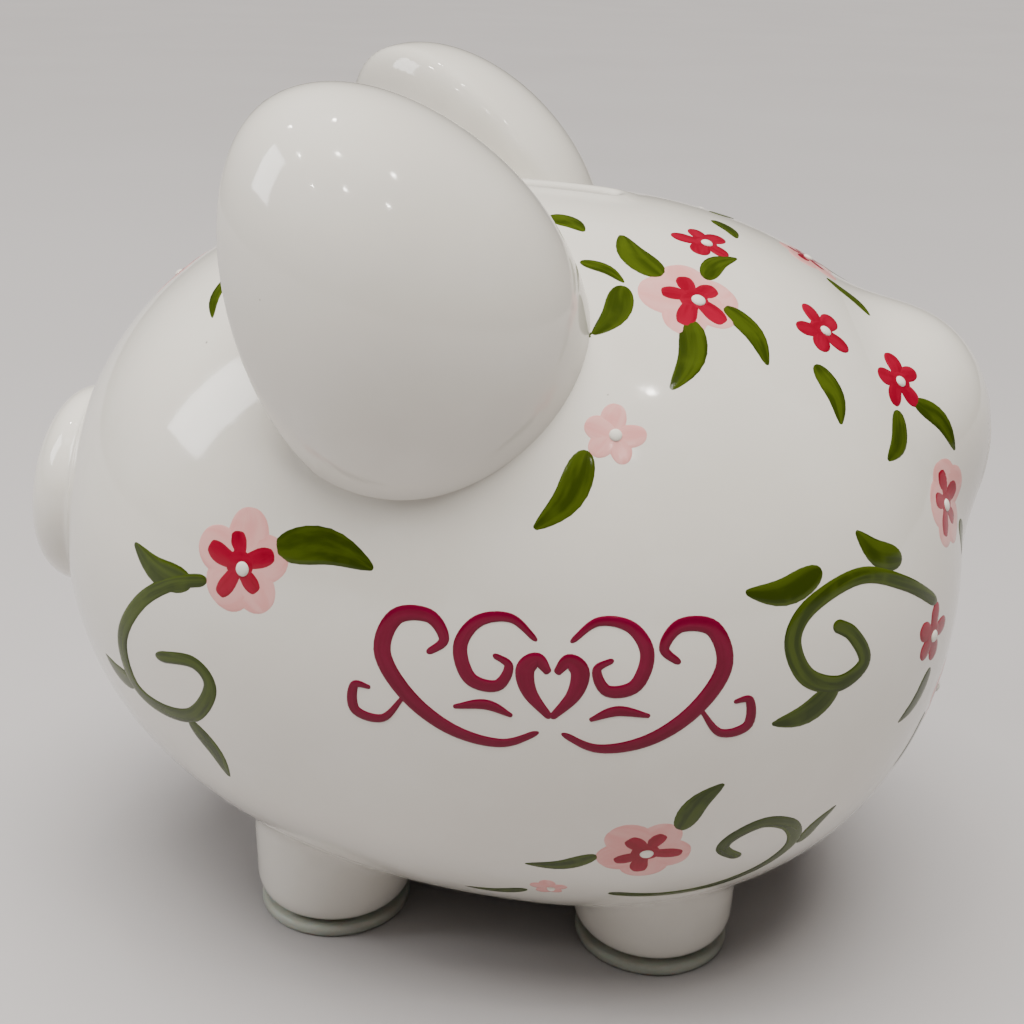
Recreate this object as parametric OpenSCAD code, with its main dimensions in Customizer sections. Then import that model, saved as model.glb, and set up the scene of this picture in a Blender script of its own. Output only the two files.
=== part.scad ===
// Ceramic piggy bank: a hollow egg-shaped body on four short legs, with a
// puffy snout, two large leaning ears and a round curled tail. The coin slot
// runs along the back between the ears, and a soft rubber stopper closes the
// round hole under the belly. Each leg stands on a thin soft pad.
// +Z is up, the snout points along -X, and the origin is on the surface that
// the bank stands on, under the middle of its length and width.

/* [Overall] */
// Half of the overall length, from the snout's front to the tail's back
half_len = 107; // [106:0.5:108]

/* [Body] */
// Length of the body from its widest place to the front
body_front = 110; // [100:1:120]
// Length of the body from its widest place to the rear
body_rear = 90; // [80:1:100]
// Radius of the body at its widest place
body_r = 81; // [78:1:84]
// How full the body's outline is, where 2 is an ellipse
body_fullness = 2.25; // [2:0.05:2.5]
// How far the nose end is tipped up, in degrees
body_tilt = 5.5; // [3:0.5:8]
// Height of the middle of the body above the table
body_z = 84; // [83:1:88]
// Place of the body's widest section along the bank
body_x = 13; // [11:1:15]
// Gap between the flattened belly and the table
belly_gap = 8.5; // [7:0.5:10]
// Thickness of the ceramic wall
wall = 5; // [4:0.5:6]

/* [Coin slot] */
// Length of the coin slot
slot_len = 40; // [34:1:46]
// Width of the coin slot
slot_w = 5.2; // [4.6:0.1:6]
// Place of the middle of the slot behind the origin
slot_x = 3; // [1:1:5]

/* [Stopper] */
// Radius of the round hole in the belly
hole_r = 15; // [13:0.5:16]
// Place of the middle of the hole along the bank
hole_x = 2.5; // [0:0.5:5]
// Running gap between the stopper and the hole
stopper_gap = 0.05; // [0.02:0.01:0.1]
// Radius of the stopper's flange
flange_r = 18; // [17:0.5:19]
// Thickness of the stopper's flange
flange_t = 2.4; // [2:0.2:3]
// Length of the stopper's plug above the belly face
plug_len = 12; // [10:1:14]
// Depth of the finger recess in the underside of the stopper
grip_depth = 5; // [3:0.5:7]

/* [Ears] */
// Half of the ear's height
ear_half_h = 42; // [41.5:0.5:42.5]
// Half of the ear's breadth
ear_half_w = 32.5; // [32:0.5:33]
// Half of the ear's thickness
ear_half_t = 20; // [19.5:0.5:21]
// Place of the middle of an ear behind the origin
ear_x = -11; // [-11.5:0.5:-10.5]
// Distance of the middle of an ear from the middle plane
ear_y = 57.5; // [57:0.5:58]
// Height of the middle of an ear
ear_z = 152.5; // [152:0.5:153]
// How far an ear leans out to the side, in degrees
ear_lean = 16.5; // [15.5:0.5:17.5]
// How far the top of an ear leans towards the snout, in degrees
ear_tip = 27.5; // [26.5:0.5:28.5]
// How far the back of an ear is swung in to the middle plane, in degrees
ear_swing = 43; // [42:0.5:44]

/* [Snout] */
// Radius of the snout
snout_r = 23.5; // [22:0.5:26]
// Thickness of the snout
snout_t = 26; // [22:1:30]
// Radius of the snout's rounded rim
snout_round = 10; // [8:0.5:11]
// Height of the middle of the snout
snout_z = 93; // [90:1:96]
// How far the snout is tipped up, in degrees
snout_tilt = 6.5; // [4:0.5:9]
// Radius of each nostril
nostril_r = 3.6; // [3:0.2:4.5]
// Distance from the middle of the snout to each nostril
nostril_y = 8.5; // [7.5:0.5:10]
// Depth of each nostril
nostril_depth = 5; // [3:0.5:7]

/* [Tail] */
// Radius of the round curled tail
tail_r = 29; // [27:0.5:31]
// Half of the thickness of the tail
tail_half_t = 22; // [20:0.5:24]
// Height of the middle of the tail
tail_z = 114; // [111:1:117]
// How far the tail is tipped up, in degrees
tail_tilt = 5.5; // [3:0.5:8]

/* [Legs] */
// Radius of a leg
leg_r = 18.5; // [17.5:0.25:19]
// Radius of the rounded edge at the bottom of a leg
leg_round = 4; // [3:0.5:6]
// Length of a leg up into the body
leg_len = 34; // [30:1:38]
// Radius of a foot pad
pad_r = 17.5; // [16:0.5:19]
// Thickness of a foot pad
pad_t = 2.6; // [2:0.2:3.2]
// Place of the front feet along the bank
front_leg_x = -35; // [-38:1:-32]
// Distance of the front feet from the middle plane
front_leg_y = 23; // [22:0.5:27]
// Place of the rear feet along the bank
rear_leg_x = 40; // [37:1:43]
// Distance of the rear feet from the middle plane
rear_leg_y = 28; // [26:0.5:31]

/* [Hidden] */
$fn = 96;

glaze = "#e9e6df";
rubber = "#8f968d";
stopper_grey = "#5c5f63";

// Steps along each half of the body's outline
outline_steps = 14;
// A little extra, so that a cut passes clean through
over = 1;
slot_depth = 2 * wall + 14;
slot_top_z = body_z + body_r + 3 * over;
plug_r = hole_r - stopper_gap;
// Gap between the stopper's flange and the belly
flange_gap = 0.3;
// Radius of a foot pad's rounded edge
pad_round = 1.1;
// How far the tilted snout and tail reach from their middles along X
snout_reach = (snout_t / 2 - snout_round) * cos(snout_tilt)
    + (snout_r - snout_round) * sin(snout_tilt) + snout_round;
tail_reach = norm([tail_half_t * cos(tail_tilt), tail_r * sin(tail_tilt)]);

// One point of the body's outline, as [radius, place along], at angle a
// from the rear end (0) to the front end (180)
function outline_point(a, r, front, rear) =
    let (
        c = cos(a),
        s = sin(a),
        k = pow(pow(abs(c), body_fullness) + pow(s, body_fullness), -1 / body_fullness)
    )
    [r * s * k, (c > 0 ? rear : front) * c * k];

// The egg-shaped solid of the body, taken in by the given amount
module egg(inset) {
    steps = 2 * outline_steps;
    points = [
        for (i = [0 : steps])
            i == 0 ? [0, body_rear - inset]
            : i == steps ? [0, -(body_front - inset)]
            : outline_point(i * 180 / steps, body_r - inset, body_front - inset, body_rear - inset)
    ];
    translate([body_x, 0, body_z])
        rotate([0, 90 + body_tilt, 0])
            rotate_extrude()
                polygon(points);
}

// The egg with its belly cut flat at the given height
module flat_bellied_egg(inset, bottom_z) {
    difference() {
        egg(inset);
        translate([body_x - body_front, -body_r, bottom_z - body_r])
            cube([body_front + body_rear, 2 * body_r, body_r]);
    }
}

module body_shell() {
    color(glaze)
        difference() {
            flat_bellied_egg(0, belly_gap);
            flat_bellied_egg(wall, belly_gap + wall);
            translate([slot_x - slot_len / 2, -slot_w / 2, slot_top_z - slot_depth])
                cube([slot_len, slot_w, slot_depth]);
            translate([hole_x, 0, 0])
                cylinder(r = hole_r, h = belly_gap + 3 * wall);
        }
}

// One ear, on the side given by side: -1 is left and 1 is right
module ear(side) {
    color(glaze)
        difference() {
            translate([ear_x, side * ear_y, ear_z])
                rotate([side * ear_lean, -ear_tip, -side * ear_swing])
                    scale([ear_half_w, ear_half_t, ear_half_h])
                        sphere(r = 1);
            egg(0);
        }
}

module left_ear() {
    ear(-1);
}

module right_ear() {
    ear(1);
}

// A round puffy disc about the X axis, with a rounded rim
module puffy_disc(r, t, round_r) {
    rotate([0, 90, 0])
        rotate_extrude()
            union() {
                translate([0, -t / 2])
                    square([r - round_r, t]);
                translate([0, -(t / 2 - round_r)])
                    square([r, t - 2 * round_r]);
                for (side = [-1, 1])
                    translate([r - round_r, side * (t / 2 - round_r)])
                        circle(r = round_r);
            }
}

module snout() {
    color(glaze)
        difference() {
            translate([snout_reach - half_len, 0, snout_z])
                rotate([0, snout_tilt, 0])
                    difference() {
                        puffy_disc(snout_r, snout_t, snout_round);
                        for (side = [-1, 1])
                            translate([-snout_t / 2 - over, side * nostril_y, 0])
                                rotate([0, 90, 0])
                                    cylinder(r = nostril_r, h = nostril_depth + over);
                    }
            egg(0);
        }
}

module tail() {
    color(glaze)
        difference() {
            translate([half_len - tail_reach, 0, tail_z])
                rotate([0, tail_tilt, 0])
                    scale([tail_half_t, tail_r, tail_r])
                        sphere(r = 1);
            egg(0);
        }
}

// One leg, from the top of its pad up to the body, with a rounded bottom edge
module leg(x, y) {
    color(glaze)
        difference() {
            translate([x, y, pad_t])
                rotate_extrude()
                    union() {
                        square([leg_r - leg_round, leg_round]);
                        translate([0, leg_round])
                            square([leg_r, leg_len - leg_round]);
                        translate([leg_r - leg_round, leg_round])
                            circle(r = leg_round);
                    }
            flat_bellied_egg(0, belly_gap);
        }
}

module front_left_leg() {
    leg(front_leg_x, -front_leg_y);
}

module front_right_leg() {
    leg(front_leg_x, front_leg_y);
}

module rear_left_leg() {
    leg(rear_leg_x, -rear_leg_y);
}

module rear_right_leg() {
    leg(rear_leg_x, rear_leg_y);
}

// One soft pad under a foot, with a rounded edge
module pad(x, y) {
    color(rubber)
        translate([x, y, 0])
            rotate_extrude()
                union() {
                    square([pad_r - pad_round, pad_t]);
                    translate([0, pad_round])
                        square([pad_r, pad_t - 2 * pad_round]);
                    for (z = [pad_round, pad_t - pad_round])
                        translate([pad_r - pad_round, z])
                            circle(r = pad_round);
                }
}

module front_left_pad() {
    pad(front_leg_x, -front_leg_y);
}

module front_right_pad() {
    pad(front_leg_x, front_leg_y);
}

module rear_left_pad() {
    pad(rear_leg_x, -rear_leg_y);
}

module rear_right_pad() {
    pad(rear_leg_x, rear_leg_y);
}

// The rubber stopper: a plug in the belly hole and a flange under the belly
module stopper() {
    color(stopper_grey)
        translate([hole_x, 0, belly_gap - flange_gap - flange_t])
            difference() {
                union() {
                    cylinder(r = flange_r, h = flange_t);
                    cylinder(r = plug_r, h = flange_t + plug_len);
                }
                translate([0, 0, -over])
                    cylinder(r = flange_r / 2, h = grip_depth + over);
            }
}

body_shell();
left_ear();
right_ear();
snout();
tail();
front_left_leg();
front_right_leg();
rear_left_leg();
rear_right_leg();
front_left_pad();
front_right_pad();
rear_left_pad();
rear_right_pad();
stopper();
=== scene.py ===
"""Glazed ceramic piggy bank with hand-painted flowers, soft foot pads and a rubber stopper."""
import math
import random

import bmesh
import bpy
import numpy as np
from mathutils import Matrix, Vector


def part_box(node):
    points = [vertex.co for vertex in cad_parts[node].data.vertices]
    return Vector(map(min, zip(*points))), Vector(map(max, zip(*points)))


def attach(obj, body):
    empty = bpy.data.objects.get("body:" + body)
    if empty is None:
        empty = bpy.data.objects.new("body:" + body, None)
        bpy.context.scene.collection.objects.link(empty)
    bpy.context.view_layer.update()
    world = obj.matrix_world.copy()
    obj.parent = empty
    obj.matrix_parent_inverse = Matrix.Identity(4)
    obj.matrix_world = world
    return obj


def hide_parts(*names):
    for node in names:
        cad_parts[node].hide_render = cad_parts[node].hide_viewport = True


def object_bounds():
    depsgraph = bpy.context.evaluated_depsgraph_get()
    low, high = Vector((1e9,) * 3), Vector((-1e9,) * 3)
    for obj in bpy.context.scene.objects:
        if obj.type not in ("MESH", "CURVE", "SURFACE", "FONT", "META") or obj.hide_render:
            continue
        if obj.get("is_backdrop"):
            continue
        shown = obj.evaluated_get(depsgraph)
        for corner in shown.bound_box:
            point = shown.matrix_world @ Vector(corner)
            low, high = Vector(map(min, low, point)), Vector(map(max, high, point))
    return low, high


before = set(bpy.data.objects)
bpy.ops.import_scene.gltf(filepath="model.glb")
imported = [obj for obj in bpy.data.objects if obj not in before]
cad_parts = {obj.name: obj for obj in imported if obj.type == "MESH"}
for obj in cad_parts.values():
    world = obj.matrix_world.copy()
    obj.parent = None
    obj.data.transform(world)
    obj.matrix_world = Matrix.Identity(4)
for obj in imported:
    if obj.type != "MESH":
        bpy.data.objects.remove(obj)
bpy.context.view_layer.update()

# Shapes are worked out in millimetres and turned into metres by finished().
MM = 0.001


# ---------------------------------------------------------------- places and sizes

def box_mm(node):
    """Lowest and highest corner of a CAD node, in millimetres."""
    low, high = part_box(node)
    return np.array(low) / MM, np.array(high) / MM


shell_low, shell_high = box_mm("body_shell")
stopper_low, stopper_high = box_mm("stopper")

# The body's radius at its widest place, and its reach in front of and behind that place
BODY_R = (shell_high[1] - shell_low[1]) / 2
BODY_FRONT = 110
BODY_REAR = 90
BODY_FULLNESS = 2.25
BODY_TILT = 5.5
BODY_MID = np.array([13, 0, shell_high[2] - BODY_R])
BODY_EDGE = 8
WALL = 5
BELLY_Z = shell_low[2]
# Longer than any spoke from the body's middle to the outside of the pig
SPOKE_LENGTH = 130

SLOT_MID_X = 3
SLOT_LENGTH = 40
SLOT_WIDTH = 5.2
# The raised bead round the slot: its height, its place outside the outline, and its breadth
SLOT_BEAD = 0.5
BEAD_OUT = 2.6
BEAD_BREADTH = 1.8
HOLE_MID_X = (stopper_low[0] + stopper_high[0]) / 2
HOLE_R = 15

# The soft fold where a cast part meets the body
EAR_FOLD = 0.3
SNOUT_FOLD = 1.4
LEG_FOLD = 3

# An ear's half sizes; it is thick towards its outer face and thin towards its inner one
EAR_HALF_W = 32.6
EAR_HALF_H = 43
EAR_OUTER_T = 32
EAR_INNER_T = 10
EAR_DISH = 2.2
EAR_TAPER = 0.14

SNOUT_R = 23.3
SNOUT_HALF_T = 13
SNOUT_MID = np.array([-93.4, 0, 93])
NOSTRIL_Y = 8.5
NOSTRIL_DEPTH = 3.4

TAIL_R = 29
TAIL_HALF_T = 22.3
TAIL_MID = np.array([84.6, 0, 114])
# The spiral groove on the tail: the distance between its turns, its breadth and its depth
CURL_PITCH = 7
CURL_BREADTH = 1.3
CURL_DEPTH = 1.5

LEG_R = 18.2
LEG_SPREAD = 0.02
LEG_LENGTH = 34


def turned(x, y, z):
    """Axes, as columns, turned by degrees about X, then Y, then Z."""
    angles = [math.radians(a) for a in (x, y, z)]
    turns = [Matrix.Rotation(angle, 3, axis) for angle, axis in zip(angles, "XYZ")]
    return np.array(turns[2] @ turns[1] @ turns[0])


BODY_AXES = turned(0, BODY_TILT, 0)
SNOUT_AXES = turned(0, 6.5, 0)
TAIL_AXES = turned(0, 5.5, 0)


# ---------------------------------------------------------------- surfaces
# Each surface is a function that gives the distance of points from it, below 0 inside.

def larger(a, b, soft):
    """The larger of two distances, with the edge between them rounded."""
    near = np.clip(soft - np.abs(a - b), 0, None) / soft
    return np.maximum(a, b) + near * near * soft / 4


def smaller(a, b, soft):
    """The smaller of two distances, with the corner between them filled."""
    return -larger(-a, -b, soft)


def ramp(value, start, end):
    """Rises smoothly from 0 at start to 1 at end."""
    t = np.clip((value - start) / (end - start), 0, 1)
    return t * t * (3 - 2 * t)


def puffy(q, half, fullness):
    """Distance from a rounded solid whose half sizes are given; a fullness of 2 is an ellipsoid."""
    part = np.abs(q) / half
    size = np.maximum((part ** fullness).sum(1) ** (1 / fullness), 1e-6)
    slope = (size[:, None] ** (1 - fullness) * part ** (fullness - 1)) / half
    return (size - 1) / np.maximum(np.linalg.norm(slope, axis=1), 1e-6)


def round_about_x(q):
    """The place along X and the radius about it, as two columns."""
    return np.column_stack([q[:, 0], np.hypot(q[:, 1], q[:, 2])])


def slot_offset(p):
    """How far points are outside the coin slot's outline, seen from above."""
    core = (SLOT_LENGTH - SLOT_WIDTH) / 2
    x = p[:, 0] - SLOT_MID_X
    return np.hypot(x - np.clip(x, -core, core), p[:, 1]) - SLOT_WIDTH / 2


def body_surface(p):
    """The egg of the body, cut flat below, with a bead round the coin slot."""
    q = round_about_x((p - BODY_MID) @ BODY_AXES)
    length = np.where(q[:, 0] < 0, BODY_FRONT, BODY_REAR)
    half = np.column_stack([length, np.full(len(q), BODY_R)])
    egg = puffy(q, half, BODY_FULLNESS)
    bead = SLOT_BEAD * np.exp(-((slot_offset(p) - BEAD_OUT) / BEAD_BREADTH) ** 2)
    bead = bead * (p[:, 2] > BODY_MID[2])
    return larger(egg - bead, BELLY_Z - p[:, 2], BODY_EDGE)


def ear_surface(side):
    """One ear's lobe, round on its outer face and dished on its inner one; side -1 is the left."""
    middle = np.array([-15.7, side * 50.3, 151.4])
    axes = turned(side * 16.5, -27.5, -side * 43)

    def surface(p):
        q = (p - middle) @ axes
        q[:, 0] /= 1 - EAR_TAPER * q[:, 2] / EAR_HALF_H
        inward = q[:, 1] * side < 0
        half = np.full_like(q, EAR_HALF_W)
        half[:, 1] = np.where(inward, EAR_INNER_T, EAR_OUTER_T)
        half[:, 2] = EAR_HALF_H
        out = np.hypot(q[:, 0] / EAR_HALF_W, q[:, 2] / EAR_HALF_H)
        dish = EAR_DISH * ramp(-out, -0.78, -0.3) * inward
        return puffy(q, half, 2) + dish

    return surface


def snout_surface(p):
    """A thick round disc with two soft nostrils in its front."""
    q = (p - SNOUT_MID) @ SNOUT_AXES
    disc = puffy(round_about_x(q), np.array([SNOUT_HALF_T, SNOUT_R]), 2.7)
    for side in (-1, 1):
        away = np.hypot((q[:, 1] - side * NOSTRIL_Y) / 2.5, q[:, 2] / 3.4)
        disc = disc + NOSTRIL_DEPTH * np.exp(-away ** 2) * (q[:, 0] < 0)
    return disc


def tail_surface(p):
    """A round knob with the groove of a curl in its rear."""
    q = (p - TAIL_MID) @ TAIL_AXES
    knob = puffy(round_about_x(q), np.array([TAIL_HALF_T, TAIL_R]), 2.05)
    reach = np.hypot(q[:, 1], q[:, 2])
    turn = np.arctan2(q[:, 2], q[:, 1]) / math.tau
    lap = (reach / CURL_PITCH - turn) % 1
    groove = np.exp(-((lap - 0.5) * CURL_PITCH / CURL_BREADTH) ** 2)
    groove = groove * ramp(reach, 1.5, 4) * ramp(-reach, -15, -12) * (q[:, 0] > 0)
    return knob + CURL_DEPTH * groove


def tail_fold(p):
    """The fold round the tail is a broad saddle on top and tight below."""
    return 5 + 7 * ramp(p[:, 2], 105, 140)


def leg_surface(x, y):
    """A short round leg with a rounded bottom edge, its top buried in the body."""
    foot_z = box_mm("front_left_leg")[0][2]

    def surface(p):
        up = p[:, 2] - foot_z
        cup = np.hypot(p[:, 0] - x, p[:, 1] - y) - (LEG_R + LEG_SPREAD * up)
        return larger(larger(cup, -up, 7), up - LEG_LENGTH, 8)

    return surface


def joined(part, fold):
    """The body and one part, flowed together across a fold."""

    def surface(p):
        width = fold(p) if callable(fold) else fold
        return smaller(body_surface(p), part(p), width)

    return surface


# Middle and half size of each foot's pad
FEET = {}
for along in ("front", "rear"):
    for hand in ("left", "right"):
        low, high = box_mm(f"{along}_{hand}_pad")
        FEET[f"{along}_{hand}"] = ((low + high) / 2, (high - low) / 2)

# Each cast part's surface, its fold, and a point inside both the part and the body
PARTS = {
    "left_ear": (ear_surface(-1), EAR_FOLD, (-9, -49, 138)),
    "right_ear": (ear_surface(1), EAR_FOLD, (-9, 49, 138)),
    "snout": (snout_surface, SNOUT_FOLD, (-87, 0, 93)),
    "tail": (tail_surface, tail_fold, (80, 0, 114)),
}
for name, (middle, half) in FEET.items():
    x, y = middle[:2]
    PARTS[name + "_leg"] = (leg_surface(x, y), LEG_FOLD, (x, y, 24))


def pig_surface(p):
    """The whole glazed outside of the pig."""
    nearest = [joined(part, fold)(p) for part, fold, start in PARTS.values()]
    return np.min(nearest, axis=0)


def outward(surface, p):
    """Unit normals of a surface at points near it."""
    step = 0.02
    slope = np.column_stack([
        surface(p + step * axis) - surface(p - step * axis) for axis in np.eye(3)
    ])
    return slope / np.linalg.norm(slope, axis=1)[:, None]


def settled(surface, p):
    """Points moved along the surface's normal until they lie on it."""
    for _ in range(4):
        p = p - outward(surface, p) * surface(p)[:, None]
    return p


def along_spokes(surface, start, ways, longest):
    """Where spokes from start leave the solid, or their ends where they don't."""
    near = np.zeros(len(ways))
    far = np.full(len(ways), float(longest))
    for _ in range(24):
        half = (near + far) / 2
        outside = surface(start + ways * half[:, None]) > 0
        far = np.where(outside, half, far)
        near = np.where(outside, near, half)
    return start + ways * far[:, None]


# ---------------------------------------------------------------- mesh helpers

def places(verts):
    """The places of verts, as rows."""
    return np.array([v.co for v in verts])


def move(verts, points):
    for v, point in zip(verts, points):
        v.co = point


def ball(cuts):
    """A bmesh ball of even square faces, with no poles, and its verts' directions."""
    bm = bmesh.new()
    bmesh.ops.create_cube(bm, size=2)
    bmesh.ops.subdivide_edges(bm, edges=bm.edges[:], cuts=cuts, use_grid_fill=True)
    ways = np.tan(places(bm.verts) * math.pi / 4)
    return bm, ways / np.linalg.norm(ways, axis=1)[:, None]


def finished(bm, name, material, body="bank"):
    """A smooth-shaded object from a bmesh in millimetres, riding on a body."""
    bmesh.ops.scale(bm, vec=(MM, MM, MM), verts=bm.verts)
    for face in bm.faces:
        face.smooth = True
    mesh = bpy.data.meshes.new(name)
    bm.to_mesh(mesh)
    bm.free()
    mesh.materials.append(material)
    piece = bpy.data.objects.new(name, mesh)
    bpy.context.scene.collection.objects.link(piece)
    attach(piece, body)
    return piece


def rim_of(bm):
    """The open edges."""
    return [edge for edge in bm.edges if edge.is_boundary]


# ---------------------------------------------------------------- materials

class Value:
    """A shader output, so that shader sums are written as Python sums."""

    def __init__(self, sheet, output):
        self.sheet = sheet
        self.output = output

    def maths(self, operation, *values):
        return self.sheet.node("Math", {"operation": operation}, dict(enumerate(values)))

    def __add__(self, other):
        return self.maths("ADD", self, other)

    def __sub__(self, other):
        return self.maths("SUBTRACT", self, other)

    def __rsub__(self, other):
        return self.maths("SUBTRACT", other, self)

    def __mul__(self, other):
        return self.maths("MULTIPLY", self, other)

    __radd__ = __add__
    __rmul__ = __mul__


class Sheet:
    """One material's nodes."""

    def __init__(self, name):
        self.material = bpy.data.materials.new(name)
        self.material.use_nodes = True
        self.nodes = self.material.node_tree.nodes
        self.links = self.material.node_tree.links
        self.shader = self.nodes["Principled BSDF"]
        self.place = self.node("TexCoord", output="Object")
        self.uv = self.node("TexCoord", output="UV")

    def node(self, kind, settings={}, inputs={}, output=0):
        """Adds a node: its settings first, then the values or links of its sockets."""
        node = self.nodes.new("ShaderNode" + kind)
        for name, value in settings.items():
            setattr(node, name, value)
        for name, value in inputs.items():
            self.feed(node.inputs[name], value)
        return Value(self, node.outputs[output])

    def feed(self, socket, value):
        if isinstance(value, Value):
            self.links.new(value.output, socket)
        elif isinstance(value, tuple) and len(value) == 3 and socket.type == "RGBA":
            socket.default_value = (*value, 1)
        else:
            socket.default_value = value

    def noise(self, size, detail=2, place=None):
        """Noise from 0 to 1 whose lumps are size metres across."""
        place = place or self.place
        return self.node("TexNoise", {}, {"Vector": place, "Scale": 1 / size, "Detail": detail})

    def between(self, low, high, value):
        """0 up to low, 1 from high on, smooth between."""
        ends = {"From Min": low, "From Max": high, "Value": value}
        return self.node("MapRange", {"interpolation_type": "SMOOTHSTEP"}, ends)

    def blend(self, amount, first, second):
        """A colour from first to second as amount goes from 0 to 1."""
        ends = {0: amount, 6: first, 7: second}
        return self.node("Mix", {"data_type": "RGBA"}, ends, output=2)

    def set(self, **inputs):
        """Sets the shader's sockets; words in a name are split by an underscore."""
        for name, value in inputs.items():
            self.feed(self.shader.inputs[name.replace("_", " ")], value)

    def bumpy(self, height, depth):
        """Bump from a height of 0 to 1 that is depth metres deep."""
        bump = self.node("Bump", {}, {"Height": height, "Distance": depth, "Strength": 1.0})
        self.set(Normal=bump)


def glaze():
    """Warm white gloss glaze, faintly uneven in tone and level, with a few pinholes."""
    s = Sheet("white_glaze")
    tone = s.noise(0.06)
    mottle = s.noise(0.009, detail=3)
    colour = s.blend(s.between(0.3, 0.7, tone), (0.81, 0.78, 0.715), (0.75, 0.72, 0.655))
    colour = s.blend(s.between(0.45, 0.8, mottle) * 0.25, colour, (0.84, 0.82, 0.765))
    cells = {"Vector": s.place, "Scale": 1 / 0.017}
    speck = s.node("TexVoronoi", {}, cells, output="Distance")
    pinhole = 1 - s.between(0.012, 0.022, speck)
    colour = s.blend(pinhole * 0.6, colour, (0.20, 0.17, 0.13))
    s.set(Base_Color=colour, Roughness=0.07 + 0.05 * mottle)
    s.set(Coat_Weight=0.3, Coat_Roughness=0.03, IOR=1.5)
    wave = s.noise(0.035, detail=1)
    fine = s.noise(0.006, detail=2)
    s.bumpy(wave * 0.85 + fine * 0.15 - pinhole * 0.2, 0.00035)
    return s.material


def enamel(name, deep, light, edge, streak):
    """Brushed enamel: streaks run along each stroke, and its edge thins to another colour."""
    s = Sheet(name)
    shift = s.node("VectorMath", {"operation": "SCALE"}, {0: s.place, "Scale": 70.0})
    stretched = s.node("Mapping", {}, {"Vector": s.uv, "Scale": (1.1, 4, 1)})
    brush = s.node("VectorMath", {"operation": "ADD"}, {0: stretched, 1: shift})
    hair = s.noise(1, detail=3, place=brush)
    pool = s.noise(0.005, detail=2)
    colour = s.blend(s.between(0.36, 0.66, hair) * streak, deep, light)
    colour = s.blend(s.between(0.5, 0.75, pool) * 0.4, colour, light)
    across = s.node("SeparateXYZ", {}, {0: s.uv}, output=1)
    off_middle = s.node("Math", {"operation": "ABSOLUTE"}, {0: across * 2 - 1})
    colour = s.blend(s.between(0.7, 1, off_middle) * 0.8, colour, edge)
    s.set(Base_Color=colour, Roughness=0.10 + 0.06 * pool, IOR=1.32)
    s.bumpy(hair * 0.6 + pool * 0.4, 0.00005)
    return s.material


def soft_pad():
    """Cloudy grey-green silicone, slightly dusty."""
    s = Sheet("foot_pad_silicone")
    cloud = s.noise(0.006, detail=3)
    dust = s.noise(0.0008, detail=2)
    colour = s.blend(cloud, (0.40, 0.42, 0.36), (0.50, 0.52, 0.46))
    colour = s.blend(s.between(0.62, 0.8, dust) * 0.4, colour, (0.62, 0.61, 0.56))
    s.set(Base_Color=colour, Roughness=0.32 + 0.16 * cloud)
    s.set(Subsurface_Weight=0.25, Subsurface_Scale=0.002)
    s.bumpy(dust, 0.00004)
    return s.material


def stopper_rubber():
    """Matt black rubber with a dusty bloom and a fine moulded grain."""
    s = Sheet("stopper_rubber")
    bloom = s.noise(0.007, detail=4)
    grain = s.noise(0.0005, detail=2)
    colour = s.blend(s.between(0.4, 0.75, bloom), (0.018, 0.018, 0.02), (0.055, 0.053, 0.05))
    s.set(Base_Color=colour, Roughness=0.55 + 0.2 * bloom)
    s.bumpy(grain, 0.00006)
    return s.material


def table_top():
    """A plain pale matt surface."""
    s = Sheet("pale_table")
    s.set(Base_Color=s.blend(s.noise(0.3), (0.42, 0.405, 0.41), (0.46, 0.445, 0.45)))
    s.set(Roughness=0.6)
    return s.material


WHITE_GLAZE = glaze()


# ---------------------------------------------------------------- the glazed body

def new_verts(result):
    return [g for g in result["geom"] if isinstance(g, bmesh.types.BMVert)]


def lip_rings():
    """Rings from the surface over an opening's rounded lip and through the wall.

    Each is how far it is outside the opening's outline and how deep below the surface."""
    outer_round, inner_round = 1.5, 0.9
    rings = [(3.0, 0), (2.2, 0), (1.6, 0)]
    for angle in np.radians([15, 35, 55, 75, 90]):
        out = outer_round * (1 - math.sin(angle))
        rings.append((out, outer_round * (1 - math.cos(angle))))
    rings += [(0, 2.4), (0, 3.4)]
    for angle in np.radians([25, 55, 90]):
        out = inner_round * (1 - math.cos(angle))
        rings.append((out, WALL - inner_round + inner_round * math.sin(angle)))
    return rings + [(2.4, WALL)]


def hole_offset(p):
    """How far points are outside the stopper hole's outline, seen from below."""
    return np.hypot(p[:, 0] - HOLE_MID_X, p[:, 1]) - HOLE_R


def line_opening(bm, outer_rim, inner_rim, up, mid_x, core, radius):
    """Draws the outer rim in over the lip and joins it to the inner one.

    The outline is a slot: core is half its straight length and radius its half width."""
    rim = outer_rim
    for out, deep in lip_rings():
        new = bmesh.ops.extrude_edge_only(bm, edges=rim)
        rim = [g for g in new["geom"] if isinstance(g, bmesh.types.BMEdge) and g.is_boundary]
        verts = new_verts(new)
        at = places(verts)
        spine = np.zeros_like(at)
        spine[:, 0] = mid_x + np.clip(at[:, 0] - mid_x, -core, core)
        away = at - spine
        away[:, 2] = 0
        away /= np.linalg.norm(away, axis=1)[:, None]
        ring = spine + away * (radius + out)
        ring[:, 2] = BODY_MID[2]
        ways = np.zeros_like(ring)
        ways[:, 2] = up
        ring = along_spokes(body_surface, ring, ways, SPOKE_LENGTH)
        ring[:, 2] -= up * deep
        move(verts, ring)
    bmesh.ops.bridge_loops(bm, edges=rim + inner_rim)


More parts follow.
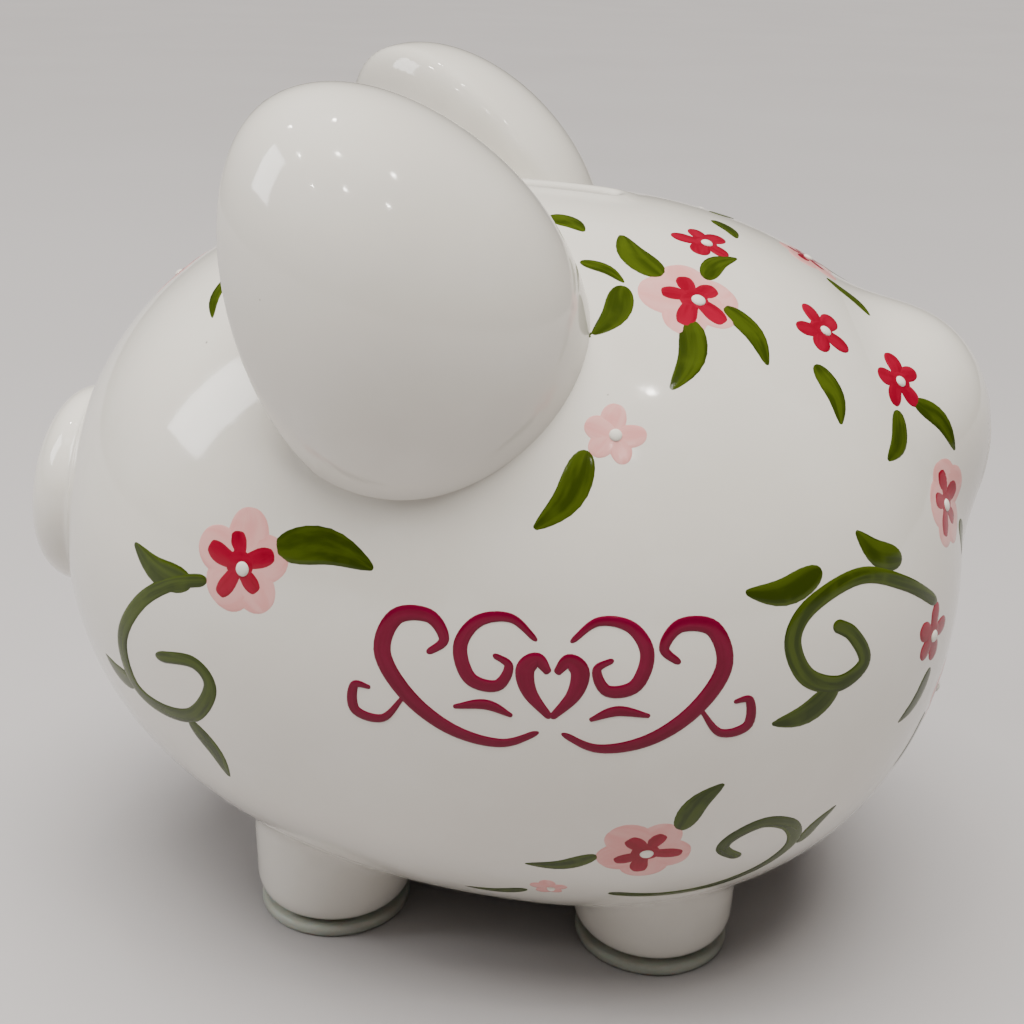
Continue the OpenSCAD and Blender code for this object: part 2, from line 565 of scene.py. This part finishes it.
def body_shell():
    """The hollow shell: an outside and an inside wall, joined through both openings."""
    bm, ways = ball(62)
    move(bm.verts, along_spokes(body_surface, BODY_MID, ways, SPOKE_LENGTH))
    slot_end_r = SLOT_WIDTH / 2
    # Each opening's offset, the way it faces, and its outline
    openings = (
        (slot_offset, 1, (SLOT_MID_X, SLOT_LENGTH / 2 - slot_end_r, slot_end_r)),
        (hole_offset, -1, (HOLE_MID_X, 0, HOLE_R)),
    )
    for offset, up, _ in openings:
        gone = [
            f for f in bm.faces
            if (f.calc_center_median()[2] - BODY_MID[2]) * up > 0
            and offset(places(f.verts)).min() < 4
        ]
        bmesh.ops.delete(bm, geom=gone, context="FACES")
    inside = bmesh.ops.duplicate(bm, geom=bm.faces[:])
    inner_verts = new_verts(inside)
    inner_faces = [g for g in inside["geom"] if isinstance(g, bmesh.types.BMFace)]
    points = places(inner_verts)
    move(inner_verts, points - outward(body_surface, points) * WALL)
    bmesh.ops.reverse_faces(bm, faces=inner_faces)
    inner = set(inner_verts)
    for _, up, outline in openings:
        outer_rim, inner_rim = [], []
        for edge in rim_of(bm):
            if (edge.verts[0].co.z - BODY_MID[2]) * up > 0:
                (inner_rim if edge.verts[0] in inner else outer_rim).append(edge)
        line_opening(bm, outer_rim, inner_rim, up, *outline)
    bmesh.ops.recalc_face_normals(bm, faces=bm.faces)
    piece = finished(bm, "glazed_body", WHITE_GLAZE)
    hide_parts("body_shell")


# Cuts along each edge of a cast part's ball, and a length longer than any of its spokes
PART_CUTS = 56
PART_REACH = 95


def flowing_part(node):
    """A cast part whose foot flows out over the body and dips under its surface."""
    part, fold, start = PARTS[node]
    flowed = joined(part, fold)
    bm, ways = ball(PART_CUTS)

    def folds_away(p):
        """The distance from the part, counted in widths of the fold."""
        return part(p) / (fold(p) if callable(fold) else fold)

    def sunk(p):
        return flowed(p) + 0.6 * ramp(folds_away(p), 0.85, 1.5)

    points = along_spokes(sunk, np.array(start), ways, PART_REACH)
    move(bm.verts, points)
    close_inside(bm, folds_away(points) > 1.35, start, node)


def crisp_part(node):
    """A cast part that runs straight on into the body, with a crisp crease round it."""
    part, _, start = PARTS[node]
    bm, ways = ball(PART_CUTS)
    points = along_spokes(part, np.array(start), ways, PART_REACH)
    move(bm.verts, points)
    close_inside(bm, body_surface(points) < -2.5, start, node)


def close_inside(bm, hidden, start, node):
    """Drops the faces of a cast part that are hidden in the body and closes it at start."""
    bm.verts.index_update()
    gone = [f for f in bm.faces if all(hidden[v.index] for v in f.verts)]
    bmesh.ops.delete(bm, geom=gone, context="FACES")
    loose = [v for v in bm.verts if not v.link_faces]
    bmesh.ops.delete(bm, geom=loose, context="VERTS")
    verts = new_verts(bmesh.ops.extrude_edge_only(bm, edges=rim_of(bm)))
    bmesh.ops.pointmerge(bm, verts=verts, merge_co=Vector(start))
    bmesh.ops.recalc_face_normals(bm, faces=bm.faces)
    piece = finished(bm, "glazed_" + node, WHITE_GLAZE)
    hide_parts(node)


def foot_pad(name, middle, half):
    """A thin soft disc with a rounded edge."""
    bm = bmesh.new()
    place = Matrix.Translation(Vector(middle))
    bmesh.ops.create_cone(
        bm, cap_ends=True, segments=128, radius1=half[0], radius2=half[0],
        depth=2 * half[2], matrix=place,
    )
    edges = [e for e in bm.edges if abs(e.verts[0].co.z - e.verts[1].co.z) < 0.01]
    bmesh.ops.bevel(
        bm, geom=edges, offset=1.1, offset_type="OFFSET", affect="EDGES",
        segments=6, profile=0.5, material=-1,
    )
    piece = finished(bm, name, SILICONE)
    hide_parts(name)


def stopper():
    """A plug with a flange below it and a pull bar across its finger recess."""
    bm = bmesh.new()
    top, bottom = stopper_high[2], stopper_low[2]
    flange_r = (stopper_high[0] - stopper_low[0]) / 2
    flange_top = bottom + 2.4
    plug_r = HOLE_R - 0.05
    recess_r = flange_r / 2
    recess_top = bottom + 5
    profile = [
        (0, top), (plug_r - 2.2, top), (plug_r - 0.6, flange_top + 1), (plug_r - 0.2, flange_top),
        (flange_r - 0.9, flange_top), (flange_r, flange_top - 0.9), (flange_r, bottom + 0.9),
        (flange_r - 0.9, bottom), (recess_r + 1, bottom), (recess_r, bottom + 1),
        (recess_r - 0.6, recess_top), (0, recess_top),
    ]
    verts = [bm.verts.new((r, 0, z)) for r, z in profile]
    edges = [bm.edges.new(pair) for pair in zip(verts, verts[1:])]
    bmesh.ops.spin(
        bm, geom=verts + edges, cent=(0, 0, 0), axis=(0, 0, 1),
        angle=math.tau, steps=96, use_merge=True,
    )
    bmesh.ops.remove_doubles(bm, verts=bm.verts, dist=0.001)
    bar = bmesh.ops.create_cube(bm, size=1)["verts"]
    bmesh.ops.scale(bm, vec=(flange_r * 0.96, 3.4, 4), verts=bar)
    bmesh.ops.translate(bm, vec=(0, 0, bottom + 2.9), verts=bar)
    edges = {e for v in bar for e in v.link_edges}
    bmesh.ops.bevel(
        bm, geom=list(edges), offset=1, affect="EDGES", segments=4, profile=0.5, material=-1,
    )
    bmesh.ops.translate(bm, vec=(HOLE_MID_X, 0, 0), verts=bm.verts)
    bmesh.ops.recalc_face_normals(bm, faces=bm.faces)
    piece = finished(bm, "rubber_stopper", stopper_rubber(), body="stopper")
    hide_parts("stopper")


body_shell()
for node in PARTS:
    cast = crisp_part if node.endswith("_ear") else flowing_part
    cast(node)
SILICONE = soft_pad()
for name, (middle, half) in FEET.items():
    foot_pad(name + "_pad", middle, half)
stopper()


# ---------------------------------------------------------------- painted flowers
# Places on the pig are directions from the middle of its body, in degrees: the first number
# goes around from its left side towards the tail, and the second goes up.

BOTH = (1, -1)
LEFT = (1,)
RIGHT = (-1,)
MIDDLE = (1,)
# How far a stroke's edge is sunk in the glaze, and how far its back is below its front
PAINT_SINK = 0.05
PAINT_BACKING = 0.35
# How high the strokes of each kind stand
LEAF_HEIGHT = 0.14
VINE_HEIGHT = 0.18
SCROLL_HEIGHT = 0.24
BLOB_HEIGHT = 0.10
PETAL_HEIGHT = 0.13
HEART_HEIGHT = 0.16
DROP_HEIGHT = 0.6


def on_pig(spots):
    """Points on the pig's left side for a list of directions."""
    around, up = np.radians(np.array(spots, dtype=float)).T
    ways = np.column_stack([np.sin(around) * np.cos(up), -np.cos(around) * np.cos(up), np.sin(up)])
    return along_spokes(pig_surface, BODY_MID, ways, SPOKE_LENGTH)


def smooth_line(knots, steps=10):
    """A smooth curve through points."""
    p = np.array(knots, dtype=float)
    p = np.vstack([2 * p[0] - p[1], p, 2 * p[-1] - p[-2]])
    t = np.linspace(0, 1, steps, endpoint=False)[:, None]
    line = []
    for a, b, c, d in zip(p, p[1:], p[2:], p[3:]):
        bend = (2 * a - 5 * b + 4 * c - d) * t + (3 * b - a - 3 * c + d) * t * t
        line.append(b + (c - a + bend) * t / 2)
    return np.vstack([*line, p[-2]])


def petal_width(t):
    """Narrower at the heart of the flower, with a round end."""
    end = np.clip((t - 0.62) / 0.385, 0, 1)
    return (0.62 + 0.38 * ramp(t, 0, 0.65)) * np.sqrt(1 - end ** 2)


def blob_width(t):
    """A round petal."""
    return np.sqrt(np.clip(1 - ((t - 0.5) / 0.505) ** 2, 0, 1))


def leaf_width(t):
    """Round at the base and drawn out to a point."""
    return np.clip(t, 0.0005, 1) ** 0.5 * (1.003 - t) ** 0.95 / 0.375


def vine_width(t):
    """Even, tapering a little to both rounded ends."""
    ends = np.clip(np.minimum(t, 1 - t) / 0.03, 0, 1)
    return np.sqrt(1 - (1 - ends) ** 2 * 0.98) * (0.72 + 0.28 * np.sin(math.pi * t))


def pen_width(t):
    """Thin at both ends and broad in the middle."""
    ends = np.clip(np.minimum(t, 1 - t) / 0.03, 0, 1)
    return np.sqrt(1 - (1 - ends) ** 2 * 0.98) * (0.4 + 0.6 * np.sin(math.pi * t) ** 1.2)


class Paint:
    """All the strokes of one enamel colour, gathered in one piece."""

    def __init__(self):
        self.bm = bmesh.new()
        self.bm.loops.layers.uv.new("stroke")
        self.lifts = []

    def stroke(self, line, breadth, width, height, sides=BOTH, steps=16):
        """A brush stroke along a line of points on the pig's left side, mirrored to its sides."""
        for side in sides:
            grid = bmesh.ops.create_grid(
                self.bm, x_segments=steps, y_segments=8, size=1, calc_uvs=True,
            )["verts"]
            at = places(grid)
            share = (1 - np.cos((at[:, 0] + 1) * math.pi / 2)) / 2
            across = np.sin(at[:, 1] * math.pi / 2)
            along = np.linspace(0, 1, len(line))
            heading = np.gradient(line, axis=0)
            middle = np.column_stack([np.interp(share, along, column) for column in line.T])
            heading = np.column_stack([np.interp(share, along, column) for column in heading.T])
            aside = np.cross(outward(pig_surface, middle), heading)
            aside /= np.linalg.norm(aside, axis=1)[:, None]
            half = width(share)
            points = middle + aside * (breadth / 2 * half * across)[:, None]
            move(grid, points * (1, side, 1))
            crown = np.sqrt(1 - across ** 4 * 0.999) * np.clip(half * 1.6, 0, 1)
            self.lifts.append(height * crown - PAINT_SINK)

    def dot(self, point, radius, height, sides=BOTH):
        """A round raised drop of paint."""
        for side in sides:
            spot = point * (1, side, 1)
            normal = outward(pig_surface, spot[None])[0]
            drop = bmesh.ops.create_icosphere(self.bm, subdivisions=3, radius=1)["verts"]
            squash = Matrix.Diagonal((radius, radius, height, 1))
            face = Vector(normal).to_track_quat("Z", "Y").to_matrix().to_4x4()
            place = Matrix.Translation(Vector(spot)) @ face @ squash
            bmesh.ops.transform(self.bm, matrix=place, verts=drop)

    def lay(self):
        """Lays the strokes on the glaze and closes each one underneath."""
        points = settled(pig_surface, places(self.bm.verts))
        normals = outward(pig_surface, points)
        points += normals * np.concatenate(self.lifts)[:, None]
        move(self.bm.verts, points)
        faces = self.bm.faces[:]
        extruded = bmesh.ops.extrude_face_region(self.bm, geom=faces, use_keep_orig=True)
        backs = new_verts(extruded)
        points = places(backs)
        move(backs, points - outward(pig_surface, points) * PAINT_BACKING)

    def finish(self, name, material, slot_name):
        """Makes the strokes one piece of the bank."""
        bmesh.ops.recalc_face_normals(self.bm, faces=self.bm.faces)
        piece = finished(self.bm, name, material)


pink = Paint()
crimson = Paint()
green = Paint()
raspberry = Paint()
white_drops = Paint()


def leaf(start, tip, breadth, bend=0.12, sides=BOTH):
    """A leaf from its base to its tip; a positive bend curves it to the left of its way."""
    ends = on_pig([start, tip])
    normal = outward(pig_surface, ends)[0]
    way = ends[1] - ends[0]
    middle = ends.mean(axis=0) + np.cross(normal, way) * bend
    green.stroke(smooth_line([ends[0], middle, ends[1]]), breadth, leaf_width, LEAF_HEIGHT, sides)


def vine(spots, breadth, sides=BOTH):
    """A stem through a list of directions."""
    line = smooth_line(on_pig(spots))
    green.stroke(line, breadth, vine_width, VINE_HEIGHT, sides, steps=12 * len(spots))


def flower(spot, size, turn, colours="pink crimson", sides=BOTH, seed=1):
    """Five brushed petals round a drop of white, over five broad pale ones where it has both."""
    chance = random.Random(seed)
    heart = on_pig([spot])[0]
    normal = outward(pig_surface, heart[None])[0]
    up = np.array([0, 0, 1]) - normal * normal[2]
    up /= np.linalg.norm(up)
    right = np.cross(up, normal)
    layers = []
    if "pink" in colours:
        share, plump = (1.55, 1.3) if "crimson" in colours else (1.05, 0.7)
        layers.append((pink, share * size, plump, blob_width, BLOB_HEIGHT))
    if "crimson" in colours:
        layers.append((crimson, 1.14 * size, 0.6, petal_width, PETAL_HEIGHT))
        middle = smooth_line([heart - right * 0.4 * size, heart, heart + right * 0.4 * size])
        crimson.stroke(middle, 0.8 * size, blob_width, HEART_HEIGHT, sides)
    for paint, reach, plump, width, height in layers:
        for petal in range(5):
            angle = math.radians(turn + 72 * petal + chance.uniform(-7, 7))
            way = right * math.sin(angle) + up * math.cos(angle)
            length = reach * chance.uniform(0.84, 1.08)
            bow = np.cross(normal, way) * chance.uniform(-0.08, 0.08) * length
            root = heart - way * 0.1 * length
            line = smooth_line([root, root + way * length * 0.5 + bow, root + way * length * 0.94])
            breadth = plump * size * chance.uniform(0.9, 1.1)
            paint.stroke(line, breadth, width, height + 0.006 * petal, sides)
    drop = heart + right * chance.uniform(0, 0.12) * size - up * chance.uniform(0, 0.12) * size
    drop = settled(pig_surface, drop[None])[0]
    white_drops.dot(drop, 0.18 * size, DROP_HEIGHT, sides)


flower((-38, 13), 8, -4, seed=2)
flower((34, 55), 8, 0, seed=3)
flower((55, 65), 7, 20, "crimson", seed=4)
flower((11, 36), 6.8, 10, "pink", seed=5)
flower((59, 45), 7, 8, "crimson", seed=6)
flower((91, 53), 6.2, 0, sides=MIDDLE, seed=7)
flower((68, 34), 6.8, 15, "crimson", seed=8)
flower((68, 17), 7.4, 0, seed=9)
flower((60, 2), 7.4, 12, "crimson", seed=10)
flower((72, -11), 6, 0, seed=11)
flower((18, -25), 7.8, 30, seed=12)
flower((4, -38), 5, 0, "pink", seed=13)
flower((-90, 35), 6.2, 0, sides=MIDDLE, seed=14)

# Base, tip and breadth of each leaf on both sides, and its bend
LEAVES = [
    ((-34, 16), (-20, 16), 7.2, 0.12),
    ((-44, 9), (-54, 11), 6, 0.12),
    ((-56, -8), (-62, -6), 5, 0.12),
    ((-47, -10), (-45, -20), 4.6, 0.12),
    ((30, 60), (26, 71), 6.6, 0.12),
    ((41, 58), (59, 60), 4.4, 0.12),
    ((31, 52), (21, 41), 5.6, 0.12),
    ((40, 53), (41, 42), 4.8, 0.12),
    ((81, 68), (70, 63), 4, 0.12),
    ((-8, 75), (11, 71), 5, 0.12),
    ((7, 64), (19, 59), 3, 0.12),
    ((18, 59), (8, 50), 5.4, 0.12),
    ((7, 34), (-1, 23), 5.8, 0.12),
    ((51, 41), (49, 32), 5, 0.12),
    ((82, 50), (77, 42), 3.4, 0.12),
    ((64, 31), (55, 26), 5, 0.12),
    ((68, 31), (72, 22), 4.4, 0.12),
    ((73, 13), (75, 7), 3.4, 0.12),
    ((53, 14), (45, 20), 5.4, 0.12),
    ((39, 16), (27, 15), 5.6, 0.12),
    ((41, 1), (31, -3), 5.2, 0.12),
    ((61, -3), (54, -9), 4.4, 0.12),
    ((66, -12), (61, -20), 4, 0.12),
    ((22, -20), (27, -11), 5.2, 0.12),
    ((11, -26), (-1, -30), 4, 0.12),
    ((0, -40), (-14, -43), 3.4, 0.12),
    ((45, -28), (48, -20), 4, 0.12),
    ((-68, 43), (-60, 37), 3, -0.12),
]
for base, tip, breadth, bend in LEAVES:
    leaf(base, tip, breadth, bend)

vine([(-42, 10), (-47, 8), (-52, 4), (-56, -2), (-56, -8), (-52, -10), (-46, -9), (-42, -4),
      (-44, -1), (-50, -2)], 3.7)
vine([(61, 6), (53, 11), (45, 14), (37, 12), (34, 8), (36, 3), (41, 1), (45, 3),
      (43, 7), (40, 9)], 3.8)
vine([(15, -39), (25, -40), (34, -38), (41, -33), (43, -27), (40, -22), (35, -20), (31, -22),
      (30, -25), (34, -28)], 3.7)


def scroll_ornament():
    """Matching curls to the left and right of a small heart, on the pig's left side."""
    # Millimetres to the right of the ornament's middle and above it, for its right half
    outer = [(2, -9), (9, -12), (18, -10), (26, -4), (31, 4), (29, 11), (23, 12), (20, 8), (23, 5)]
    curls = [
        (outer, 3.4),
        ([(3, 9), (8, 13), (14, 12), (17, 7), (15, 1), (10, 0), (8, 4), (11, 6)], 2.8),
        ([(27, -4), (31, -9), (36, -8), (36, -3), (33, -3)], 2.2),
        ([(7, -6), (12, -4), (18, -5)], 2.2),
    ]
    heart = ([(0, -6), (4, -1), (5, 3.5), (2.8, 5.5), (0.6, 3)], 3.6)
    middle = np.array([3, 3])
    mm_per_degree = 1.42
    for knots, breadth in [*curls, heart]:
        for hand in (-1, 1):
            spots = middle + np.array(knots) * (hand, 1) / mm_per_degree
            line = smooth_line(on_pig(spots))
            steps = 9 * len(knots)
            raspberry.stroke(line, breadth, pen_width, SCROLL_HEIGHT, LEFT, steps)


def flower_spray():
    """Two flowers on a long vine, on the pig's right side."""
    vine([(-24, -3), (-14, 1), (-4, 0), (6, -5), (17, -8), (26, -4), (28, 2)], 2.6, RIGHT)
    flower((-8, 8), 7, 5, sides=RIGHT, seed=15)
    flower((13, 2), 6.4, 30, sides=RIGHT, seed=16)
    leaf((-18, 0), (-26, 8), 5.4, sides=RIGHT)
    leaf((0, -1), (-6, -10), 5.4, sides=RIGHT)
    leaf((2, 3), (4, 13), 5, sides=RIGHT)
    leaf((20, -8), (26, -16), 5, sides=RIGHT)


scroll_ornament()
flower_spray()
for paint in (pink, crimson, green, raspberry):
    paint.lay()
# Each paint's piece, its material, and the deep, light and edge colours of its brush marks
PAINTS = (
    (pink, "pink_petals", "pink_enamel",
     (0.74, 0.34, 0.32), (0.78, 0.46, 0.43), (0.70, 0.38, 0.35), 0.6),
    (crimson, "crimson_petals", "crimson_enamel",
     (0.25, 0.003, 0.018), (0.36, 0.008, 0.035), (0.22, 0.002, 0.015), 0.6),
    (green, "leaves_and_vines", "green_enamel",
     (0.030, 0.046, 0.004), (0.072, 0.104, 0.008), (0.026, 0.036, 0.004), 0.7),
    (raspberry, "scroll_ornament", "raspberry_enamel",
     (0.15, 0.002, 0.022), (0.20, 0.004, 0.034), (0.13, 0.002, 0.018), 0.6),
    (white_drops, "white_drops", "white_enamel",
     (0.80, 0.78, 0.70), (0.86, 0.84, 0.78), (0.78, 0.76, 0.68), 0.6),
)
for paint, piece_name, slot_name, deep, light, edge, streak in PAINTS:
    paint.finish(piece_name, enamel(slot_name, deep, light, edge, streak), slot_name)


# ---------------------------------------------------------------- floor, light and camera

def floor():
    """A plain floor, 24 m square."""
    bm = bmesh.new()
    bmesh.ops.create_grid(bm, x_segments=2, y_segments=2, size=12)
    mesh = bpy.data.meshes.new("table")
    bm.to_mesh(mesh)
    mesh.materials.append(table_top())
    piece = bpy.data.objects.new("table", mesh)
    bpy.context.scene.collection.objects.link(piece)
    piece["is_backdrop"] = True


def lamp(name, kind, place, aim, power, colour=(1, 1, 1)):
    """A lamp at a place, facing the point aim."""
    light = bpy.data.lights.new(name, kind)
    light.energy = power
    light.color = colour
    holder = bpy.data.objects.new(name, light)
    holder.location = place
    holder.rotation_euler = (Vector(aim) - Vector(place)).to_track_quat("-Z", "Y").to_euler()
    bpy.context.scene.collection.objects.link(holder)
    return holder


def soft_light(name, place, aim, size, power, colour=(1, 1, 1)):
    """A rectangular lamp of the given size."""
    light = lamp(name, "AREA", place, aim, power, colour).data
    light.shape = "RECTANGLE"
    light.size, light.size_y = size


def sky_light():
    """Broad even light from above, on the whole floor, that leaves no reflection in the glaze."""
    sky = lamp("sky_light", "SUN", (0, -0.1, 1.1), (0, 0, 0), 6.2, (1, 0.965, 0.91))
    sky.data.angle = math.radians(50)
    sky.visible_glossy = False


def studio():
    """A dim surround that shows pale where the camera looks past the floor."""
    world = bpy.data.worlds.new("studio")
    world.use_nodes = True
    tree = world.node_tree
    surround = tree.nodes["Background"]
    surround.inputs["Color"].default_value = (0.46, 0.44, 0.43, 1)
    path = tree.nodes.new("ShaderNodeLightPath")
    strength = tree.nodes.new("ShaderNodeMath")
    strength.operation = "MULTIPLY_ADD"
    seen_strength, dim_strength = 1.8, 0.09
    strength.inputs[1].default_value = seen_strength
    strength.inputs[2].default_value = dim_strength
    tree.links.new(path.outputs["Is Camera Ray"], strength.inputs[0])
    tree.links.new(strength.outputs[0], surround.inputs["Strength"])
    bpy.context.scene.world = world


def camera():
    """A close camera, turned a little to the right of the bank and looking down at it."""
    turn, rise, roll = math.radians(4.4), math.radians(21.1), math.radians(1.6)
    distance = 0.346
    aim = Vector((0.0029, 0, 0.0915))
    back = Vector((
        math.sin(turn) * math.cos(rise), -math.cos(turn) * math.cos(rise), math.sin(rise),
    ))
    data = bpy.data.cameras.new("camera")
    data.sensor_width = 36
    data.lens = 52.7
    data.clip_start = 0.01
    lens = bpy.data.objects.new("camera", data)
    lens.location = aim + back * distance
    face = back.to_track_quat("Z", "Y")
    lens.rotation_mode = "QUATERNION"
    lens.rotation_quaternion = face @ Matrix.Rotation(roll, 3, "Z").to_quaternion()
    bpy.context.scene.collection.objects.link(lens)
    bpy.context.scene.camera = lens


floor()
sky_light()
soft_light("side_window", (-1.05, -0.2, 0.75), (0, 0, 0.08), (0.35, 0.5), 5)
# Small ceiling lamps, for the sparkle in the glaze
for row, column in ((0, 0), (0, 1), (0, 2), (1, 0), (1, 1), (1, 2), (2, 0), (2, 1)):
    place = (-0.75 + 0.55 * row, -0.9 + 0.5 * column, 1.15)
    soft_light(f"spot_{row}_{column}", place, (0, 0, 0.1), (0.03, 0.03), 0.45, (1, 0.96, 0.90))
studio()
camera()

low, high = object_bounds()
